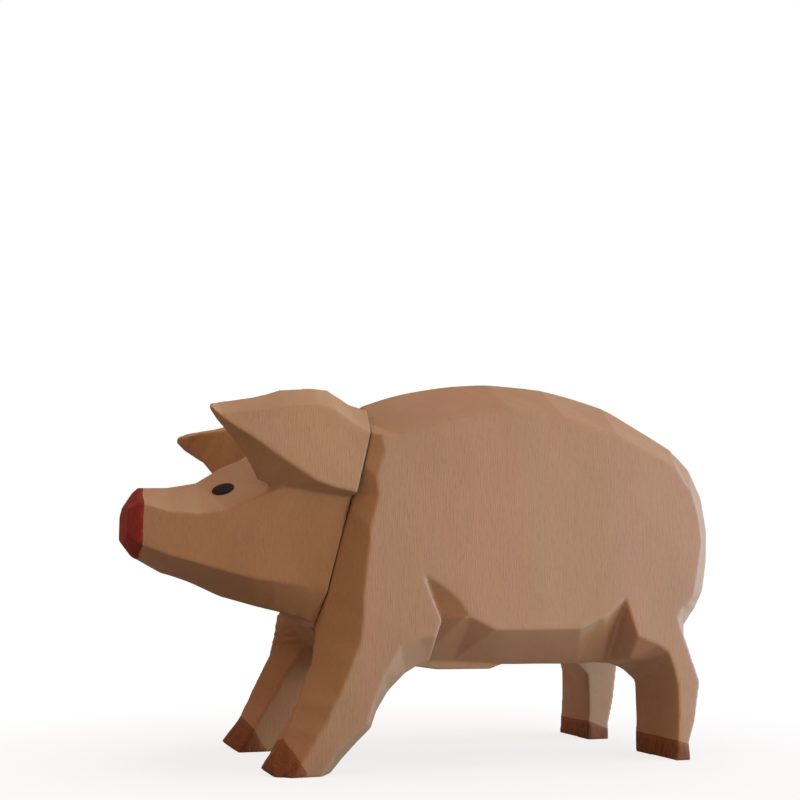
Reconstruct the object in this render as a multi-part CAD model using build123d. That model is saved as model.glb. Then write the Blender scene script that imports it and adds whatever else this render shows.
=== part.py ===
from build123d import *
import os
from math import cos, radians, sin, tan

# Carved wooden pig. Two blocks sawn from one board, a body with its four legs and a head with
# both ears, are glued on a leaning face round a dowel and faceted with a knife. Snout, eyes
# and feet carry thin coats of paint and stain.
# Millimetres. The pig looks along -Y, its left side is +X, and it stands on the plane z = 0.

# Sizes of the whole
overall_length = 129.0
body_height = 79.0
board_thickness = 56.0
head_length = 41.0

# Glue face between head and body. The underside and the lip at its end were sawn a little skew.
glue_lean = 12.75
glue_height = 45.0
keel_skew = 2.8
lip_height = 1.4
lip_depth = 0.3
lip_skew = 4.8

# Body
back_flat = 29.0
belly_flat = 28.0
front_leg_gap = 24.0
rear_leg_gap = 22.8
front_leg_bevel = 4.0
rear_leg_bevel = 6.0

# Ears
ear_span = 54.0

# Dowel across the glue face
dowel_diameter = 8.0
dowel_length = 30.0
dowel_height = 47.0
dowel_chamfer = 1.0
dowel_fit = 0.1
dowel_end_room = 1.0
flute_count = 12
flute_radius = 0.5

# Paint and stain
coat = 0.16
snout_paint_depth = 3.0
eye_length = 4.4
eye_height = 2.5
eye_tilt = 10.0
front_stain_lean = 32.0
front_stain_height = 9.0
rear_stain_lean = 70.0
rear_stain_line = 4.2
rear_stain_height = 6.0

# Every cut runs this far past the wood
overrun = 3.0

nose_y = -overall_length / 2
neck_y = nose_y + head_length
body_length = overall_length - head_length
side = board_thickness / 2


# Points on the two blocks, from shares of their length and height

def body_point(across, along_share, up_share):
    return Vector(across, neck_y + along_share * body_length, up_share * body_height)


def head_point(across, along_share, up_share):
    return Vector(across, nose_y + along_share * head_length, up_share * body_height)


def outline_face(points):
    return make_face(Polyline(*points, close=True))


def body_section(across, shares):
    return [body_point(across, *pair) for pair in shares]


def mirrored(solid):
    return mirror(solid, about=Plane.YZ)


def both_sides(solid):
    return [solid, mirrored(solid)]


# Wood cut to flat facets between rows of points. A patch with a twist is two facets, which meet
# on its shorter diagonal.

def patch_facets(first, second, second_after, first_after):
    if (second - first_after).length < (second_after - first).length:
        return [(first, second, first_after), (second, second_after, first_after)]
    return [(first, second, second_after), (first, second_after, first_after)]


def faceted(rows):
    faces = [outline_face(rows[0]), outline_face(rows[-1])]
    for row, after in zip(rows, rows[1:]):
        for place in range(len(row)):
            corners = [row[place - 1], row[place], after[place], after[place - 1]]
            faces += [outline_face(facet) for facet in patch_facets(*corners)]
    return Solid(Shell(faces))


# A knife cut takes off the corner between two lines. Each row gives a point on one line, a
# point on the other, and the corner that the cut takes away.

def knife_cut(rows):
    triangles = []
    for first, second, corner in rows:
        along_cut = (first - second).normalized() * overrun
        middle = (first + second) / 2
        away = (corner - middle).normalized() * overrun
        triangles.append([first + along_cut, second - along_cut, corner + away])
    return faceted(triangles)


def side_corner(outer, inner):
    return Vector(outer.X, inner.Y, inner.Z)


# Body: the barrel, as a side profile sawn through the board

back_shares = [
    (0.030, 0.905), (0.073, 0.925), (0.166, 0.961), (0.269, 0.986), (0.375, 1.0), (0.483, 1.0),
    (0.635, 0.975), (0.761, 0.927), (0.875, 0.859), (0.933, 0.815), (0.966, 0.763),
    (0.988, 0.700), (0.998, 0.643), (1.0, 0.585), (0.996, 0.528), (0.989, 0.471),
    (0.980, 0.436), (0.966, 0.410), (0.952, 0.382),
]
underside_shares = [
    (0.952, 0.382), (0.922, 0.341), (0.903, 0.278), (0.892, 0.247), (0.830, 0.234),
    (0.761, 0.235), (0.701, 0.250), (0.614, 0.242), (0.425, 0.244), (0.395, 0.232),
    (0.261, 0.233), (0.216, 0.240), (0.102, 0.256), (0.003, 0.288), (-0.043, 0.352),
    (-0.065, 0.400), (-0.065, 0.600), (0.030, 0.905),
]
# Along the flank, then along the back and down the rump: each row is one end of a facet
top_edge_shares = [
    (0.010, 0.825), (0.130, 0.836), (0.264, 0.882), (0.390, 0.910), (0.528, 0.894),
    (0.670, 0.854), (0.830, 0.768), (0.866, 0.712), (0.886, 0.640), (0.892, 0.575),
    (0.880, 0.502), (0.864, 0.427), (0.847, 0.407), (0.831, 0.395), (0.821, 0.374),
    (0.816, 0.340), (0.808, 0.220),
]
back_edge_shares = [
    (0.010, 0.900), (0.150, 0.958), (0.278, 0.990), (0.392, 1.003), (0.540, 0.995),
    (0.705, 0.956), (0.903, 0.842), (0.956, 0.785), (0.990, 0.700), (1.001, 0.605),
    (0.994, 0.510), (0.981, 0.440), (0.969, 0.416), (0.955, 0.388), (0.938, 0.366),
    (0.920, 0.336), (0.905, 0.200),
]
# The flank's lower edge, from the elbow to the stifle, and the belly's edge under it. The first
# column is how far out the upper point stands.
belly_shares = [
    (0.857, 0.040, 0.371, 0.040, 0.270), (0.857, 0.198, 0.371, 0.210, 0.254),
    (1.0, 0.286, 0.371, 0.300, 0.254), (1.0, 0.363, 0.338, 0.413, 0.245),
    (1.0, 0.544, 0.339, 0.545, 0.243), (1.0, 0.609, 0.365, 0.625, 0.242),
    (1.0, 0.678, 0.419, 0.701, 0.250), (1.0, 0.800, 0.419, 0.800, 0.262),
]
# The hollow behind the elbow: height and the flank's edge, and how far forward the cut reaches
elbow_shares = [(0.480, 0.171), (0.443, 0.226), (0.413, 0.259), (0.371, 0.286)]
elbow_reach_share = 0.088


def top_bevel():
    rows = []
    for outer_pair, inner_pair in zip(top_edge_shares, back_edge_shares):
        outer = body_point(side, *outer_pair)
        inner = body_point(back_flat / 2, *inner_pair)
        rows.append((outer, inner, side_corner(outer, inner)))
    return knife_cut(rows)


def belly_bevel():
    sections = []
    for across_share, flank_along, flank_up, belly_along, belly_up in belly_shares:
        outer = body_point(across_share * side, flank_along, flank_up)
        inner = body_point(belly_flat / 2, belly_along, belly_up)
        outside = side + overrun
        beyond = outer + (outer - inner) * ((outside - outer.X) / (outer.X - inner.X))
        floor = inner.Z - overrun
        corners = [Vector(inner.X, inner.Y, floor), Vector(beyond.X, beyond.Y, floor)]
        sections.append([beyond, inner] + corners)
    return faceted(sections)


def elbow_hollow():
    rows = []
    for up, along in elbow_shares:
        outer = body_point(side, along, up)
        inner = body_point(side - front_leg_bevel, along - elbow_reach_share, up)
        rows.append((outer, inner, side_corner(outer, inner)))
    return knife_cut(rows)


def barrel():
    back = Spline(*[body_point(0, *pair) for pair in back_shares])
    underside = Polyline(*[body_point(0, *pair) for pair in underside_shares])
    solid = extrude(make_face(Curve() + [back, underside]), amount=side, both=True)
    for bevel in (top_bevel(), belly_bevel(), elbow_hollow()):
        for cut in both_sides(bevel):
            solid -= cut
    return solid


# Body: the legs, each faceted from its inner face to its outer face

front_toe_shares = [
    (-0.155, 0.0), (-0.177, 0.018), (-0.130, 0.086), (-0.103, 0.167), (-0.072, 0.253),
    (-0.052, 0.342), (-0.017, 0.480),
]
front_leg_outer_shares = [
    (0.171, 0.480), (0.197, 0.412), (0.216, 0.362), (0.204, 0.323), (0.164, 0.320),
    (0.120, 0.299), (0.083, 0.233), (0.061, 0.175), (0.044, 0.118), (0.008, 0.087),
    (-0.028, 0.049), (-0.057, 0.0),
] + front_toe_shares
front_leg_inner_shares = [
    (0.188, 0.480), (0.209, 0.412), (0.223, 0.362), (0.201, 0.261), (0.175, 0.252),
    (0.143, 0.232), (0.103, 0.189), (0.077, 0.144), (0.064, 0.103), (0.033, 0.071),
    (0.0, 0.035), (-0.027, 0.0),
] + front_toe_shares

rear_leg_outer_shares = [
    (0.678, 0.419), (0.707, 0.320), (0.760, 0.298), (0.786, 0.278), (0.798, 0.244),
    (0.809, 0.192), (0.808, 0.103), (0.799, 0.0), (0.835, 0.0), (0.834, 0.045), (0.852, 0.100),
    (0.869, 0.200), (0.847, 0.268), (0.822, 0.350), (0.800, 0.419),
]
rear_leg_middle_shares = [
    (0.669, 0.419), (0.721, 0.257), (0.765, 0.254), (0.795, 0.251), (0.804, 0.230),
    (0.811, 0.174), (0.808, 0.101), (0.799, 0.0), (0.847, 0.0), (0.850, 0.051), (0.865, 0.114),
    (0.877, 0.203), (0.869, 0.290), (0.872, 0.345), (0.870, 0.419),
]
rear_leg_inner_shares = [
    (0.650, 0.419), (0.701, 0.248), (0.735, 0.236), (0.757, 0.226), (0.775, 0.212),
    (0.796, 0.190), (0.798, 0.101), (0.793, 0.0), (0.855, 0.0), (0.857, 0.048), (0.873, 0.114),
    (0.886, 0.203), (0.890, 0.290), (0.905, 0.345), (0.949, 0.419),
]


def front_leg():
    return faceted([
        body_section(front_leg_gap / 2, front_leg_inner_shares),
        body_section(side - front_leg_bevel, front_leg_inner_shares),
        body_section(side, front_leg_outer_shares),
    ])


def rear_leg():
    return faceted([
        body_section(rear_leg_gap / 2, rear_leg_inner_shares),
        body_section(side - rear_leg_bevel, rear_leg_middle_shares),
        body_section(side, rear_leg_outer_shares),
    ])


# Body: one long cut from the shoulder to the toe, and one down the front of the leg. The
# shoulder's rows give height, side edge and ridge (across, along), and the leg's give height,
# ridge (across, along) and inner edge.

shoulder_shares = [
    (0.900, 0.100, 0.985, 0.070), (0.785, 0.082, 0.940, 0.044), (0.671, 0.067, 0.868, 0.020),
    (0.557, 0.047, 0.807, -0.002), (0.430, 0.033, 0.757, -0.028), (0.354, 0.030, 0.714, -0.048),
    (0.311, 0.026, 0.714, -0.053), (0.256, 0.006, 0.735, -0.063), (0.165, -0.034, 0.796, -0.100),
    (0.122, -0.050, 0.821, -0.115), (0.086, -0.072, 0.821, -0.131), (0.018, -0.114, 0.830, -0.177),
    (-0.013, -0.131, 0.830, -0.197),
]
leg_front_shares = [
    (0.375, 0.714, -0.048, -0.038), (0.354, 0.714, -0.048, -0.038), (0.330, 0.714, -0.050, -0.024),
    (0.311, 0.714, -0.053, -0.010), (0.288, 0.724, -0.057, 0.009), (0.256, 0.735, -0.063, -0.010),
    (0.165, 0.796, -0.100, -0.060), (0.122, 0.821, -0.115, -0.085), (0.086, 0.821, -0.131, -0.107),
    (0.018, 0.830, -0.177, -0.143), (-0.013, 0.830, -0.197, -0.160),
]


def shoulder_bevel():
    rows = []
    for up, side_along, ridge_across, ridge_along in shoulder_shares:
        outer = body_point(side, side_along, up)
        ridge = body_point(ridge_across * side, ridge_along, up)
        rows.append((outer, ridge, side_corner(outer, ridge)))
    return knife_cut(rows)


def leg_front_bevel():
    rows = []
    for up, ridge_across, ridge_along, inner_along in leg_front_shares:
        ridge = body_point(ridge_across * side, ridge_along, up)
        inner = body_point(front_leg_gap / 2, inner_along, up)
        ahead = side_corner(inner, ridge) - Vector(0, overrun, 0)
        rows.append((ridge, inner, ahead))
    return knife_cut(rows)


# The block that the head is sawn from: the glue face leans from the nape down to the throat, a
# narrow lip rises ahead of it, and the underside runs from the lip to the chin. The body ends at
# the glue face, and nothing of it stands ahead of that above the throat.
keel_shares = [
    (0.0, 0.452), (0.418, 0.436), (0.497, 0.423), (0.580, 0.412), (0.661, 0.400), (0.740, 0.391),
    (0.840, 0.378),
]
lip_up_share = 0.368


def on_glue_face(across, up):
    lean = tan(radians(glue_lean))
    return Vector(across, neck_y + (up - glue_height) * lean, up)


def keel(across, throat):
    drop = Vector(0, 0, across * tan(radians(keel_skew)))
    points = [head_point(across, *pair) - drop for pair in keel_shares]
    lip = Vector(across, throat.Y - lip_depth, lip_up_share * body_height) - drop
    return points + [lip]


def level_with_throat(across, throat):
    return [throat - Vector(0, lip_depth, 0)]


def ahead_of_glue_face(underside):
    throat_height = lip_up_share * body_height - lip_height
    sections = []
    for across in (-side - overrun, side + overrun):
        throat = on_glue_face(across, throat_height - across * tan(radians(lip_skew)))
        nape = on_glue_face(across, body_height + overrun)
        under = underside(across, throat)
        ahead = nose_y - overrun
        front = [Vector(across, ahead, nape.Z), Vector(across, ahead, under[0].Z)]
        sections.append([throat, nape] + front + under)
    return faceted(sections)


def whole_body():
    solid = barrel()
    for leg in (front_leg(), rear_leg()):
        for piece in both_sides(leg):
            solid += piece
    for bevel in (shoulder_bevel(), leg_front_bevel()):
        for cut in both_sides(bevel):
            solid -= cut
    return solid - ahead_of_glue_face(level_with_throat)


# Head: the skull and snout, faceted between sections square to its length. Each row gives the
# place along the head and, outwards and upwards, the jaw's edge, the cheek's lower and upper
# edges and the edge of the brow. From the chin to the throat the block's underside cuts off the
# jaw's edge.

skull_shares = [
    (0.0, (0.100, 0.562), (0.365, 0.574), (0.372, 0.640), (0.215, 0.655)),
    (0.051, (0.110, 0.527), (0.404, 0.553), (0.429, 0.656), (0.214, 0.699)),
    (0.195, (0.090, 0.485), (0.464, 0.524), (0.489, 0.633), (0.214, 0.701)),
    (0.341, (0.090, 0.461), (0.521, 0.503), (0.550, 0.627), (0.214, 0.716)),
    (0.463, (0.090, 0.432), (0.568, 0.484), (0.604, 0.637), (0.230, 0.757)),
    (0.585, (0.100, 0.391), (0.618, 0.468), (0.661, 0.667), (0.280, 0.785)),
    (0.682, (0.200, 0.362), (0.657, 0.461), (0.707, 0.686), (0.350, 0.826)),
    (0.756, (0.320, 0.342), (0.685, 0.454), (0.740, 0.698), (0.390, 0.850)),
    (0.829, (0.420, 0.329), (0.711, 0.448), (0.771, 0.709), (0.429, 0.870)),
    (0.907, (0.530, 0.306), (0.743, 0.436), (0.807, 0.722), (0.467, 0.887)),
    (1.256, (0.620, 0.270), (0.876, 0.382), (0.929, 0.770), (0.518, 0.935)),
]
# Each row of an ear: place along the head and, outwards in shares of half the ears' span and
# upwards, its lower inner edge, its outer lower and upper edges, its crest and its inner edge
ear_shares = [
    (0.330, (0.938, 0.876), (0.975, 0.874), (0.980, 0.880), (0.933, 0.890), (0.913, 0.883)),
    (0.380, (0.799, 0.855), (1.0, 0.852), (1.0, 0.860), (0.861, 0.898), (0.757, 0.885)),
    (0.448, (0.762, 0.820), (1.0, 0.830), (1.0, 0.866), (0.850, 0.905), (0.741, 0.896)),
    (0.534, (0.726, 0.765), (1.0, 0.806), (1.0, 0.874), (0.840, 0.914), (0.726, 0.903)),
    (0.595, (0.674, 0.712), (1.0, 0.786), (1.0, 0.879), (0.830, 0.923), (0.716, 0.909)),
    (0.682, (0.674, 0.694), (1.0, 0.756), (1.0, 0.889), (0.809, 0.940), (0.705, 0.925)),
    (0.846, (0.674, 0.674), (1.0, 0.704), (1.0, 0.898), (0.788, 0.950), (0.664, 0.935)),
    (0.928, (0.674, 0.666), (1.0, 0.690), (1.0, 0.888), (0.767, 0.947), (0.622, 0.930)),
    (1.046, (0.674, 0.660), (1.0, 0.678), (1.0, 0.848), (0.747, 0.913), (0.581, 0.913)),
    (1.205, (0.674, 0.655), (1.0, 0.668), (1.0, 0.805), (0.726, 0.895), (0.539, 0.900)),
]


def skull():
    sections = []
    for along, *edges in skull_shares:
        left = [head_point(out * side, along, up) for out, up in edges]
        right = [head_point(-out * side, along, up) for out, up in reversed(edges)]
        sections.append(left + right)
    return faceted(sections)


def ear():
    sections = []
    for along, *edges in ear_shares:
        sections.append([head_point(out * ear_span / 2, along, up) for out, up in edges])
    return faceted(sections)


def whole_head():
    solid = skull()
    for piece in both_sides(ear()):
        solid += piece
    return solid & ahead_of_glue_face(keel)


# Dowel: a fluted pin square to the glue face, half of it in each block

def dowel_place():
    centre = on_glue_face(0, dowel_height)
    up_the_face = on_glue_face(0, dowel_height + dowel_diameter) - centre
    return Plane(origin=centre, x_dir=(1, 0, 0), z_dir=up_the_face.cross(Vector(1, 0, 0)))


def dowel_pin():
    pin = Cylinder(dowel_diameter / 2, dowel_length)
    pin = chamfer(pin.edges().filter_by(GeomType.CIRCLE), dowel_chamfer)
    flute = Cylinder(flute_radius, dowel_length)
    for place in PolarLocations(dowel_diameter / 2, flute_count):
        pin -= place * flute
    return dowel_place() * pin


def dowel_hole():
    depth = dowel_length + 2 * dowel_end_room
    return dowel_place() * Cylinder(dowel_diameter / 2 + dowel_fit, depth)


# Paint and stain: a coat is the wood moved out by the coat's thickness each way, less the wood

def zone_around(zone):
    box = zone.bounding_box()
    room = 2 * overrun
    return Pos(*box.center()) * Box(box.size.X + room, box.size.Y + room, box.size.Z + room)


def coat_on(wood, ways, zone):
    near = wood & zone_around(zone)
    grown = Part() + [Pos(*(coat * way)) * near for way in ways]
    return (grown & zone) - wood


# Snout: red paint over the flat end, back to a line square to the head

def snout_paint():
    depth = overrun + snout_paint_depth
    middle = nose_y - overrun + depth / 2
    zone = Pos(0, middle, body_height / 2) * Box(board_thickness, depth, body_height)
    ways = [Vector(across, -1, up) for across in (-1, 1) for up in (-1, 1)]
    return coat_on(head, ways, zone)


# Eyes: black ovals on the dished facet between cheek and brow. The facet runs between two rows
# of the skull, and the shares place the eye along it and up it.
eye_along_share = 0.46
eye_rise_share = 0.47


def between(first, second, share):
    return first + (second - first) * share


def eye_place():
    corners = []
    for along, *edges in (skull_shares[3], skull_shares[5]):
        corners.append([head_point(out * side, along, up) for out, up in edges[-2:]])
    (cheek, brow), (rear_cheek, rear_brow) = corners
    low = between(cheek, rear_cheek, eye_along_share)
    high = between(brow, rear_brow, eye_along_share)
    outwards = (rear_brow - cheek).cross(brow - rear_cheek)
    return Plane(origin=between(low, high, eye_rise_share), x_dir=(0, 1, 0), z_dir=outwards)


def left_eye():
    place = eye_place()
    oval = place * Rot(0, 0, -eye_tilt) * Ellipse(eye_length / 2, eye_height / 2)
    return coat_on(head, [place.z_dir], extrude(oval, amount=overrun, both=True))


# Feet: brown stain ahead of a leaning line on the toes of the front feet, and under a sloping
# line on the rear feet. Each pair of shares gives where the line starts and the foot's middle.
front_foot_shares = (-0.083, -0.120)
rear_foot_shares = (0.799, 0.823)


def foot_stain(foot_shares, line_up, lean, height):
    start, middle = foot_shares
    line = Plane(
        origin=body_point(0, start, 0) + Vector(0, 0, line_up),
        x_dir=(1, 0, 0),
        z_dir=(0, cos(radians(lean)), sin(radians(lean))),
    )
    block_place = body_point(side, middle, 0) + Vector(0, 0, height / 2)
    block = Pos(*block_place) * Box(board_thickness, body_length / 4, height)
    ways = [Vector(across, along, 0) for across in (-1, 1) for along in (-1, 1)]
    return coat_on(body, ways, split(block, bisect_by=line, keep=Keep.BOTTOM))


body = whole_body() - dowel_hole()
head = whole_head() - dowel_hole()
eye = left_eye()
front_stain = foot_stain(front_foot_shares, 0, front_stain_lean, front_stain_height)
rear_stain = foot_stain(rear_foot_shares, rear_stain_line, rear_stain_lean, rear_stain_height)
nodes = {
    "body": body,
    "head": head,
    "neck_dowel": dowel_pin(),
    "snout_paint": snout_paint(),
    "eye_left": eye,
    "eye_right": mirrored(eye),
    "hoof_stain_front_left": front_stain,
    "hoof_stain_front_right": mirrored(front_stain),
    "hoof_stain_rear_left": rear_stain,
    "hoof_stain_rear_right": mirrored(rear_stain),
}

os.makedirs("parts", exist_ok=True)
for name, solid in nodes.items():
    export_step(solid, f"parts/{name}.step")
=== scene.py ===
from math import cos, inf, radians, sin

import bmesh
import bpy
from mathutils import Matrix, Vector, noise


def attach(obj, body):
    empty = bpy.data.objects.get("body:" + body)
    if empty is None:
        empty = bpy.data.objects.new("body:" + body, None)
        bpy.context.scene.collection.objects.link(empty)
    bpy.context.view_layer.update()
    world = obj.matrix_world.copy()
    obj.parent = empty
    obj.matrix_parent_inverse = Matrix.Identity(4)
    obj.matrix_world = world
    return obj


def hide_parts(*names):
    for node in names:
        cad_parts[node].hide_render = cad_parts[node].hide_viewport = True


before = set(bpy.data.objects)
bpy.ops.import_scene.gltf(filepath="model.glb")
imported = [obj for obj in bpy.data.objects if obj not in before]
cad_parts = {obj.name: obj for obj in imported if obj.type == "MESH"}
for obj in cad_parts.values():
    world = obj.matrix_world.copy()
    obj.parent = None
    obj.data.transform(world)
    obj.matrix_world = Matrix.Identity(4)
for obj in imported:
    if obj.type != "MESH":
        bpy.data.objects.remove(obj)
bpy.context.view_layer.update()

# Body. The trunk and its four legs are one block of lime wood with the grain upright, sawn out
# in side view and then faceted with a knife. Its flanks keep the saw's fuzzy face, and the
# knife's cuts are smooth.
mm = 0.001
edge_round = 0.34 * mm
edge_passes = 3
faint_crease = radians(3.5)
faint_passes = 12
throat_crease = radians(13)
throat_passes = 120
throat_low = 14 * mm
throat_high = 34 * mm
throat_back = -26 * mm
chest_crease = radians(45)
chest_passes = 60
chest_low = 21 * mm
chest_high = 31 * mm
chest_back = -26.5 * mm
chest_half = 18.5 * mm
body_mark_depth = 0.07 * mm
body_stroke = 8 * mm
flat_sole = 0.5 * mm
body_triangles = 185000


def srgb(text):
    """An sRGB hex colour as the linear one that a shader takes."""
    values = [int(text[i:i + 2], 16) / 255 for i in (1, 3, 5)]
    linear = [v / 12.92 if v <= 0.04045 else ((v + 0.055) / 1.055) ** 2.4 for v in values]
    return (*linear, 1.0)


def deselect():
    if bpy.context.object and bpy.context.object.mode != "OBJECT":
        bpy.ops.object.mode_set(mode="OBJECT")
    bpy.ops.object.select_all(action="DESELECT")


def pick(piece):
    deselect()
    piece.select_set(True)
    bpy.context.view_layer.objects.active = piece


def apply_modifier(piece, kind, **settings):
    pick(piece)
    modifier = piece.modifiers.new(kind.lower(), kind)
    for name, value in settings.items():
        setattr(modifier, name, value)
    bpy.ops.object.modifier_apply(modifier=modifier.name)


def merged_copy(node, name):
    """A copy of a CAD node with its corners joined up, to be refined into a finished piece."""
    piece = bpy.data.objects.new(name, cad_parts[node].data.copy())
    bpy.context.scene.collection.objects.link(piece)
    piece.data.materials.clear()
    pick(piece)
    bpy.ops.object.mode_set(mode="EDIT")
    bpy.ops.mesh.select_all(action="SELECT")
    bpy.ops.mesh.remove_doubles(threshold=0.001 * mm)
    bpy.ops.object.mode_set(mode="OBJECT")
    return piece


def smooth(piece, passes, **limits):
    apply_modifier(piece, "SMOOTH", factor=0.5, iterations=passes, **limits)


def soften(piece):
    """Rounds the edges between the knife's cuts a little."""
    apply_modifier(piece, "REMESH", mode="VOXEL", voxel_size=edge_round)
    smooth(piece, edge_passes)


def ease_creases(piece, crease, passes, low=-inf, high=inf, back=inf, half=inf):
    """Smooths away the creases fainter than an angle, between two heights, ahead of a place
    along the pig and within a distance of its middle."""
    mesh = bmesh.new()
    mesh.from_mesh(piece.data)
    mesh.normal_update()
    crisp = {v.index for e in mesh.edges if e.calc_face_angle(0) > crease for v in e.verts}
    mesh.verts.ensure_lookup_table()
    crisp |= {e.other_vert(mesh.verts[i]).index for i in crisp for e in mesh.verts[i].link_edges}
    eased = [
        v.index for v in mesh.verts
        if v.index not in crisp and low < v.co.z < high and v.co.y < back and abs(v.co.x) < half
    ]
    mesh.free()
    group = piece.vertex_groups.new(name="eased")
    group.add(eased, 1.0, "REPLACE")
    smooth(piece, passes, vertex_group="eased")
    piece.vertex_groups.clear()


def tool_marks(piece, depth, stroke, seed):
    """Shallow waves where one stroke of the knife ends and the next begins."""
    offset = Vector((seed, seed * 2, seed * 3))
    normals = [v.normal.copy() for v in piece.data.vertices]
    for vertex, normal in zip(piece.data.vertices, normals):
        if vertex.co.z > flat_sole:
            wave = noise.noise(vertex.co / stroke + offset)
            vertex.co += normal * depth * wave


def thin_out(piece, most):
    """Brings a piece down to a number of triangles and shades it smooth."""
    piece.data.calc_loop_triangles()
    apply_modifier(piece, "DECIMATE", ratio=min(1.0, most / len(piece.data.loop_triangles)))
    pick(piece)
    bpy.ops.object.shade_smooth()


def add_node(tree, kind, links=(), **settings):
    """One shader node, with its settings and with links given as (input, from_node, output)."""
    node = tree.nodes.new(kind)
    for name, value in settings.items():
        if name.startswith("in_"):
            key = name[3:]
            node.inputs[int(key) if key.isdigit() else key.replace("_", " ")].default_value = value
        else:
            setattr(node, name, value)
    for target, source, output in links:
        tree.links.new(source.outputs[output], node.inputs[target])
    return node


body = merged_copy("body", "body_carved")
soften(body)
ease_creases(body, faint_crease, faint_passes)
ease_creases(body, throat_crease, throat_passes, throat_low, throat_high, throat_back)
ease_creases(
    body, chest_crease, chest_passes, chest_low, chest_high, chest_back, chest_half
)
tool_marks(body, body_mark_depth, body_stroke, seed=3.0)
thin_out(body, body_triangles)

# Lime wood, rubbed with a little oil: pale pinkish tan, close and even, with fine upright
# fibres, short flecks, and soft upright bands that run from pinkish to golden. Real fibres are
# a few hundredths of a millimetre wide, and are drawn coarser so that they show.
bands = dict(width=11 * mm, along=0.07, detail=2.0, low=0.35, high=0.65)
clouds = dict(width=14 * mm, along=0.5, detail=2.0, low=0.38, high=0.66)
fibres = dict(width=0.24 * mm, along=0.09, detail=3.0, low=0.40, high=0.70)
flecks = dict(width=0.28 * mm, along=0.22, detail=1.0, low=0.54, high=0.74)
band_share = 0.6
cloud_share = 0.10
fibre_share = 0.09
fleck_share = 0.13
board_step = 10 * mm
fibre_height = 0.03 * mm
cut_furrow = 0.25
saw_furrow = 0.25
sawn_from = 0.985
sawn_fully = 0.999


def drawn_out(tree, place, width, along, detail, low, high):
    """Noise drawn out along the grain, with what is under low cut off and high as its top."""
    stretched = add_node(
        tree, "ShaderNodeMapping", in_Scale=(1, 1, along), links=[("Vector", place, 0)]
    )
    grain = add_node(
        tree, "ShaderNodeTexNoise", in_Scale=1 / width, in_Detail=detail, in_Roughness=0.6,
        links=[("Vector", stretched, 0)],
    )
    return add_node(
        tree, "ShaderNodeMapRange", in_From_Min=low, in_From_Max=high, links=[(0, grain, 0)]
    )


def tinted(tree, colour, pattern, share, tint, blend="MULTIPLY"):
    """A colour with a tint laid over it where a pattern is high."""
    scale = add_node(
        tree, "ShaderNodeMath", operation="MULTIPLY", in_1=share, links=[(0, pattern, 0)]
    )
    mixed = add_node(tree, "ShaderNodeMix", data_type="RGBA", blend_type=blend)
    mixed.inputs["B"].default_value = srgb(tint)
    if isinstance(colour, str):
        mixed.inputs["A"].default_value = srgb(colour)
    else:
        tree.links.new(colour.outputs["Result"], mixed.inputs["A"])
    tree.links.new(scale.outputs[0], mixed.inputs["Factor"])
    return mixed


def blank_material(name):
    material = bpy.data.materials.new(name)
    material.use_nodes = True
    material.node_tree.nodes.clear()
    return material


def place_on_board(tree, seed):
    """The object's own coordinates, and the same moved to another part of the board."""
    place = add_node(tree, "ShaderNodeTexCoord")
    return place, add_node(
        tree, "ShaderNodeMapping", in_Location=(seed * board_step, seed * 2 * board_step, 0),
        links=[("Vector", place, "Object")],
    )


def wood_colours(tree, shifted, colour, golden, dark):
    """The wood's colour, and the fibres that its surface is raised by."""
    raised = drawn_out(tree, shifted, **fibres)
    wood = tinted(tree, colour, drawn_out(tree, shifted, **bands), band_share, golden, "MIX")
    wood = tinted(tree, wood, drawn_out(tree, shifted, **clouds), cloud_share, dark)
    wood = tinted(tree, wood, raised, fibre_share, dark)
    wood = tinted(tree, wood, drawn_out(tree, shifted, **flecks), fleck_share, dark)
    return wood, raised


def finish_wood(tree, wood, raised, place, rough, index=1.5):
    """A satin surface with the fibres raised, more so on the flats that the saw left square
    to the pig's sides."""
    split = add_node(tree, "ShaderNodeSeparateXYZ", links=[(0, place, "Normal")])
    square = add_node(tree, "ShaderNodeMath", operation="ABSOLUTE", links=[(0, split, 0)])
    sawn = add_node(
        tree, "ShaderNodeMapRange", in_From_Min=sawn_from, in_From_Max=sawn_fully,
        links=[(0, square, 0)],
    )
    furrow = add_node(
        tree, "ShaderNodeMath", operation="MULTIPLY_ADD", in_1=saw_furrow, in_2=cut_furrow,
        links=[(0, sawn, 0)],
    )
    bump = add_node(
        tree, "ShaderNodeBump", in_Distance=fibre_height,
        links=[("Height", raised, 0), ("Strength", furrow, 0)],
    )
    shader = add_node(
        tree, "ShaderNodeBsdfPrincipled", in_Roughness=rough, in_IOR=index,
        links=[("Base Color", wood, "Result"), ("Normal", bump, 0)],
    )
    add_node(tree, "ShaderNodeOutputMaterial", links=[("Surface", shader, 0)])


def bare_wood(name, colour, golden, dark, seed, glued=None):
    """Wood in three shades: its own, that of its golden bands, and that of its dark grain."""
    material = blank_material(name)
    tree = material.node_tree
    place, shifted = place_on_board(tree, seed)
    wood, raised = wood_colours(tree, shifted, colour, golden, dark)
    if glued:
        wood = tinted(tree, wood, glued(tree, place), glue_share, glue_dark)
    finish_wood(tree, wood, raised, place, rough=0.6)
    return material


body_wood = bare_wood(
    "lime_wood_body", colour="#AE896B", golden="#A58B61", dark="#86603C", seed=1.0
)
body.data.materials.append(body_wood)
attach(body, "root")
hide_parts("body")


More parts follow.
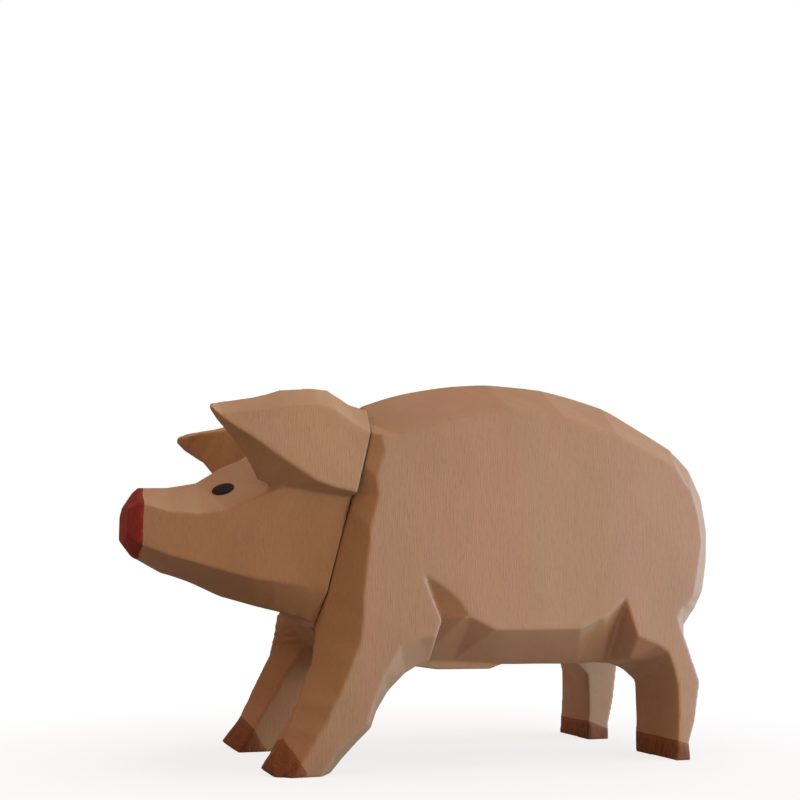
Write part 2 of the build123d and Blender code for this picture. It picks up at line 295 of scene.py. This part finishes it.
# Head, with both ears left standing on it: a second block of the same wood, from another part of
# the board and a little yellower. It is glued to the body on the leaning neck face, and the thin
# line of glue shows dark round the joint, down to the throat.
jaw_passes = 150
jaw_low = 20 * mm
jaw_high = 38 * mm
jaw_back = -23 * mm
head_mark_depth = 0.06 * mm
head_stroke = 7 * mm
head_triangles = 120000
glue_lean = radians(12.75)
glue_point = Vector((0, -23.5 * mm, 45 * mm))
glue_line = 0.30 * mm
glue_core = 0.10 * mm
glue_foot = 30 * mm
glue_fade = 1 * mm
glue_share = 0.85
glue_dark = "#3A2010"


def near_glue(tree, place):
    """How near a point is to the leaning glue face, from 0 a line's width away to 1 on it, and
    0 at the throat."""
    square_to_glue = Vector((0, cos(glue_lean), -sin(glue_lean)))
    across = add_node(
        tree, "ShaderNodeVectorMath", operation="DOT_PRODUCT", in_1=square_to_glue,
        links=[(0, place, "Object")],
    )
    reach = square_to_glue.dot(glue_point)
    line = add_node(
        tree, "ShaderNodeMapRange", in_From_Min=reach - glue_line, in_From_Max=reach - glue_core,
        links=[(0, across, "Value")],
    )
    height = add_node(tree, "ShaderNodeSeparateXYZ", links=[(0, place, "Object")])
    above = add_node(
        tree, "ShaderNodeMapRange", in_From_Min=glue_foot, in_From_Max=glue_foot + glue_fade,
        links=[(0, height, 2)],
    )
    return add_node(
        tree, "ShaderNodeMath", operation="MULTIPLY", links=[(0, line, 0), (1, above, 0)]
    )


head = merged_copy("head", "head_carved")
soften(head)
ease_creases(head, faint_crease, faint_passes)
ease_creases(head, throat_crease, jaw_passes, jaw_low, jaw_high, jaw_back)
tool_marks(head, head_mark_depth, head_stroke, seed=5.0)
thin_out(head, head_triangles)
head_wood = bare_wood(
    "lime_wood_head", colour="#B18F6E", golden="#AE9166", dark="#865C36", seed=4.0,
    glued=near_glue,
)
head.data.materials.append(head_wood)
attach(head, "root")
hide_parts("head")


# Dowel: turned beech with pressed flutes, paler than the lime, glued into both blocks across the
# neck face, where it doesn't show.
dowel_wood = bare_wood(
    "beech_dowel", colour="#CDAA82", golden="#C7A276", dark="#A87C50", seed=7.0
)
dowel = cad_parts["neck_dowel"]
dowel.data.materials.clear()
dowel.data.materials.append(dowel_wood)


# Snout: dark red water paint brushed over the end of the muzzle, so thin that the wood's grain
# still shows. Its edge is the brush's, a little uneven.
snout_edge = Vector((0, -61.5 * mm, 0))
lengthwise = Vector((0, 1, 0))
coat_lift = 0.04 * mm
coat_thickness = 0.06 * mm
brush_wobble = 0.35 * mm
brush_wave = 4.5 * mm
brush_strokes = dict(width=1.1 * mm, along=0.3, detail=2.0, low=0.40, high=0.75)
stroke_share = 0.5
painted_fibre_share = 0.35


def skin_of(piece, name, cuts):
    """The stretch of a carved surface behind each cut, a plane given by a point and a normal."""
    skin = bpy.data.objects.new(name, piece.data.copy())
    bpy.context.scene.collection.objects.link(skin)
    skin.data.materials.clear()
    pick(skin)
    bpy.ops.object.mode_set(mode="EDIT")
    for point, away in cuts:
        bpy.ops.mesh.select_all(action="SELECT")
        bpy.ops.mesh.bisect(plane_co=point, plane_no=away, clear_outer=True)
    bpy.ops.object.mode_set(mode="OBJECT")
    return skin


def brush_edge(skin, direction, seed):
    """Moves a skin's rim to and fro along a direction, as a brush held by hand leaves it."""
    mesh = bmesh.new()
    mesh.from_mesh(skin.data)
    for vertex in mesh.verts:
        if vertex.is_boundary:
            wave = noise.noise(vertex.co / brush_wave + Vector((seed, 0, 0)))
            vertex.co += direction * brush_wobble * wave
    mesh.to_mesh(skin.data)
    mesh.free()


def make_coat(skin, lift):
    """Lifts a skin off the wood and gives it a thickness."""
    normals = [v.normal.copy() for v in skin.data.vertices]
    for vertex, normal in zip(skin.data.vertices, normals):
        vertex.co += normal * lift
    apply_modifier(skin, "SOLIDIFY", thickness=coat_thickness, offset=-1.0)
    pick(skin)
    bpy.ops.object.shade_smooth()


def water_paint(name, colour, thin, dark, seed):
    """Matt paint with the fibres under it showing, paler where the brush left less."""
    material = blank_material(name)
    tree = material.node_tree
    place, shifted = place_on_board(tree, seed)
    strokes = drawn_out(tree, shifted, **brush_strokes)
    raised = drawn_out(tree, shifted, **fibres)
    paint = tinted(tree, colour, strokes, stroke_share, thin, "MIX")
    paint = tinted(tree, paint, raised, painted_fibre_share, dark)
    finish_wood(tree, paint, raised, place, rough=0.75, index=1.25)
    return material


snout = skin_of(head, "snout_coat", [(snout_edge, lengthwise)])
brush_edge(snout, lengthwise, seed=11.0)
make_coat(snout, coat_lift)
red_paint = water_paint(
    "red_water_paint", colour="#8C3733", thin="#9C433D", dark="#6E2927", seed=2.0
)
snout.data.materials.append(red_paint)
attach(snout, "root")
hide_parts("snout_paint")


# Eyes: one touch of black gloss paint each, set down with a loaded brush, so that it stands a
# little proud with a soft rim. It is a cold black, worn to a weak, broad shine.
eye_wider = 1.10
eye_taller = 1.30
eye_turn = radians(-9)
eye_up = 0.4 * mm
eye_rim = 0.06 * mm
rim_angle = radians(40)
smooth_angle = radians(50)
eye_black = blank_material("black_gloss_paint")
eye_shader = add_node(
    eye_black.node_tree, "ShaderNodeBsdfPrincipled", in_Base_Color=srgb("#05090F"),
    in_Roughness=0.45, in_IOR=1.28,
)
add_node(eye_black.node_tree, "ShaderNodeOutputMaterial", links=[("Surface", eye_shader, 0)])


def brush_touch(eye):
    """Spreads the oval in the plane that it was painted on, as a loaded brush does. That plane
    is the largest face on its outer side."""
    middle = sum((v.co for v in eye.data.vertices), Vector()) / len(eye.data.vertices)
    outer = max(eye.data.polygons, key=lambda face: face.area * (face.center.x * face.normal.x > 0))
    out = outer.normal.normalized()
    along = (lengthwise - out * out.y).normalized()
    rise = out.cross(along)
    if rise.z < 0:
        rise = -rise
    for vertex in eye.data.vertices:
        offset = vertex.co - middle
        fore = offset.dot(along) * eye_wider
        up = offset.dot(rise) * eye_taller
        turned_fore = fore * cos(eye_turn) - up * sin(eye_turn)
        turned_up = fore * sin(eye_turn) + up * cos(eye_turn)
        vertex.co = middle + along * turned_fore + rise * (turned_up + eye_up) + out * offset.dot(out)


for node in ("eye_left", "eye_right"):
    eye = merged_copy(node, node + "_touch")
    brush_touch(eye)
    apply_modifier(
        eye, "BEVEL", width=eye_rim, segments=3, limit_method="ANGLE", angle_limit=rim_angle
    )
    pick(eye)
    bpy.ops.object.shade_smooth_by_angle(angle=smooth_angle)
    eye.data.materials.append(eye_black)
    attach(eye, "root")
    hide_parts(node)


# Feet: brown water stain that has soaked into the toes and bled a little way up the grain, ahead
# of a leaning line on the front feet and under a sloping one on the rear feet.
front_line = Vector((0, -30.8 * mm, 0))
front_lean = radians(32)
front_top = Vector((0, 0, 9 * mm))
rear_line = Vector((0, 46.8 * mm, 4.2 * mm))
rear_lean = radians(70)
rear_top = Vector((0, 0, 6 * mm))
sole = Vector((0, 0, 0.06 * mm))
centre = Vector((0, 0, 0))
upwards = Vector((0, 0, 1))
sideways = Vector((1, 0, 0))
bleed_width = 1.2 * mm
bleed_share = 0.45
stain_patches = dict(width=1.6 * mm, along=0.5, detail=2.0, low=0.42, high=0.68)
patch_share = 0.65
soaked_fibres = dict(width=0.24 * mm, along=0.08, detail=3.0, low=0.38, high=0.68)
soaked_fibre_share = 0.45


def leaning(lean):
    """The direction that rises from the pig's rear end by an angle, in side view."""
    return Vector((0, cos(lean), sin(lean)))


def soaked_stain(name, line, lean):
    """Patchy stain with the fibres showing through, paler over its last stretch before the
    line that it stops at."""
    material = blank_material(name)
    tree = material.node_tree
    place, shifted = place_on_board(tree, seed=6.0)
    across = add_node(
        tree, "ShaderNodeVectorMath", operation="DOT_PRODUCT", in_1=leaning(lean),
        links=[(0, place, "Object")],
    )
    reach = leaning(lean).dot(line)
    bleed = add_node(
        tree, "ShaderNodeMapRange", in_From_Min=reach - bleed_width, in_From_Max=reach,
        links=[(0, across, "Value")],
    )
    patches = drawn_out(tree, shifted, **stain_patches)
    raised = drawn_out(tree, shifted, **soaked_fibres)
    stain = tinted(tree, "#8A5833", patches, patch_share, "#5F3D2A", "MIX")
    stain = tinted(tree, stain, raised, soaked_fibre_share, "#5A3420")
    stain = tinted(tree, stain, bleed, bleed_share, "#9C6C44", "MIX")
    finish_wood(tree, stain, raised, place, rough=0.65, index=1.35)
    return material


feet = [
    ("front", front_line, front_lean, front_top, lengthwise),
    ("rear", rear_line, rear_lean, rear_top, -lengthwise),
]
for end, line, lean, top, inwards in feet:
    stain = soaked_stain("brown_stain_" + end, line, lean)
    for flank, across_middle in (("left", -sideways), ("right", sideways)):
        node = f"hoof_stain_{end}_{flank}"
        cuts = [
            (line, leaning(lean)), (top, upwards), (sole, -upwards),
            (centre, across_middle), (centre, inwards),
        ]
        foot = skin_of(body, node + "_soaked", cuts)
        make_coat(foot, coat_lift / 2)
        foot.data.materials.append(stain)
        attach(foot, "root")
        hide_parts(node)


# Studio: a white table in a dim warm room, with a low wide window behind the rump, a weaker one on
# the pig's left and a soft lamp overhead. The camera sees plain white round the pig, with its shadow
# kept close to its feet. What the table throws back up onto the pig is painted into its colour: grey
# ahead of the pig as painted shade, and bluish white behind it as painted light from the window.
shadow_full = 50 * mm
shadow_gone = 130 * mm
shadow_white = 0.80
# Along the pig, where the table's painted shade ends and where its painted light from the window is
# full.
painted_shade_end = -20 * mm
painted_light_end = 10 * mm
table_size = 6
table_drop = 0.05 * mm
room_light = 0.61
lamp_target = Vector((0, 0, 40 * mm))


def flat_white(name):
    """White to the camera away from the pig, with its soft shadow kept near it. For the light that
    bounces off it, the table is painted grey at the end in the room's shade and bluish white at the
    window's end. This is painted shade and painted light that stand in for the window's light thrown
    back up."""
    material = blank_material(name)
    tree = material.node_tree
    ray = add_node(tree, "ShaderNodeLightPath")
    place = add_node(tree, "ShaderNodeTexCoord")
    away = add_node(
        tree, "ShaderNodeVectorMath", operation="LENGTH", links=[(0, place, "Object")]
    )
    far = add_node(
        tree, "ShaderNodeMapRange", in_From_Min=shadow_full, in_From_Max=shadow_gone,
        in_To_Min=shadow_white, in_To_Max=1.0, links=[(0, away, "Value")],
    )
    matt = add_node(tree, "ShaderNodeBsdfDiffuse", in_Color=(0.9, 0.9, 0.9, 1))
    along = add_node(tree, "ShaderNodeSeparateXYZ", links=[(0, place, "Object")])
    # Painted shade and painted light: the table's colour for bounced light runs from grey ahead of
    # the pig to bluish white behind it.
    painted_bounce = add_node(
        tree, "ShaderNodeMapRange", in_From_Min=painted_shade_end, in_From_Max=painted_light_end,
        links=[(0, along, 1)],
    )
    # The grey is painted shade, and the bluish white is painted light from the window.
    tint = add_node(tree, "ShaderNodeMix", data_type="RGBA", links=[("Factor", painted_bounce, 0)])
    tint.inputs["A"].default_value = srgb("#9A948E")
    tint.inputs["B"].default_value = srgb("#F0F8FF")
    lacquer = add_node(
        tree, "ShaderNodeBsdfPrincipled", in_Roughness=0.25, in_IOR=2.0,
        links=[("Base Color", tint, "Result")],
    )
    glow = add_node(tree, "ShaderNodeEmission", in_Color=(1, 1, 1, 1), in_Strength=1.0)
    shown = add_node(
        tree, "ShaderNodeMixShader", links=[(0, far, 0), (1, matt, 0), (2, glow, 0)]
    )
    mixed = add_node(
        tree, "ShaderNodeMixShader", links=[(0, ray, 0), (1, lacquer, 0), (2, shown, 0)]
    )
    add_node(tree, "ShaderNodeOutputMaterial", links=[("Surface", mixed, 0)])
    return material


deselect()
bpy.ops.mesh.primitive_plane_add(size=table_size, location=(0, 0, -table_drop))
table = bpy.context.object
table.name = "table"
table.data.materials.append(flat_white("white_table"))

world = bpy.data.worlds.new("room")
bpy.context.scene.world = world
world.use_nodes = True
sky = world.node_tree
sky.nodes.clear()
seen = add_node(sky, "ShaderNodeLightPath")
backdrop = add_node(sky, "ShaderNodeBackground", in_Color=(1, 1, 1, 1), in_Strength=1.0)
room = add_node(sky, "ShaderNodeBackground", in_Color=srgb("#FFC49E"), in_Strength=room_light)
both = add_node(
    sky, "ShaderNodeMixShader", links=[(0, seen, 0), (1, room, 0), (2, backdrop, 0)]
)
add_node(sky, "ShaderNodeOutputWorld", links=[("Surface", both, 0)])


def soft_lamp(name, place, width, height, power, colour):
    """A lit rectangle in metres and watts, turned to the middle of the pig."""
    deselect()
    bpy.ops.object.light_add(type="AREA", location=place)
    lamp = bpy.context.object
    lamp.name = name
    lamp.data.shape = "RECTANGLE"
    lamp.data.size = width
    lamp.data.size_y = height
    lamp.data.energy = power
    lamp.data.color = srgb(colour)[:3]
    lamp.rotation_euler = (lamp_target - Vector(place)).to_track_quat("-Z", "Y").to_euler()


soft_lamp("window", (0.17, 0.78, 0.10), width=0.5, height=0.18, power=7.4, colour="#98CBFF")
soft_lamp("side_light", (0.64, 0.46, 0.08), width=0.5, height=0.14, power=1.9, colour="#FFF3DC")
soft_lamp("top_light", (0.05, 0, 0.9), width=0.5, height=0.5, power=2.4, colour="#D3F0FF")

# Camera: 26 cm off on the pig's left, 2 cm ahead of its snout and level with its jaw, turned back
# to the pig's middle and tilted slightly up.
camera_distance = 263.4 * mm
camera_height = 32.3 * mm
camera_round = radians(-18.61)
camera_heading = radians(17.73)
camera_rise = radians(9.77)
camera_lens = 52.74
film_width = 36
nearest_seen = 10 * mm
camera_data = bpy.data.cameras.new("camera")
camera = bpy.data.objects.new("camera", camera_data)
bpy.context.scene.collection.objects.link(camera)
camera_data.sensor_width = film_width
camera_data.lens = camera_lens
camera_data.clip_start = nearest_seen
camera.location = (
    camera_distance * cos(camera_round), camera_distance * sin(camera_round), camera_height
)
looking = Vector((
    -cos(camera_heading) * cos(camera_rise), sin(camera_heading) * cos(camera_rise),
    sin(camera_rise),
))
camera.rotation_euler = looking.to_track_quat("-Z", "Y").to_euler()
bpy.context.scene.camera = camera
bpy.context.scene.view_settings.view_transform = "Standard"
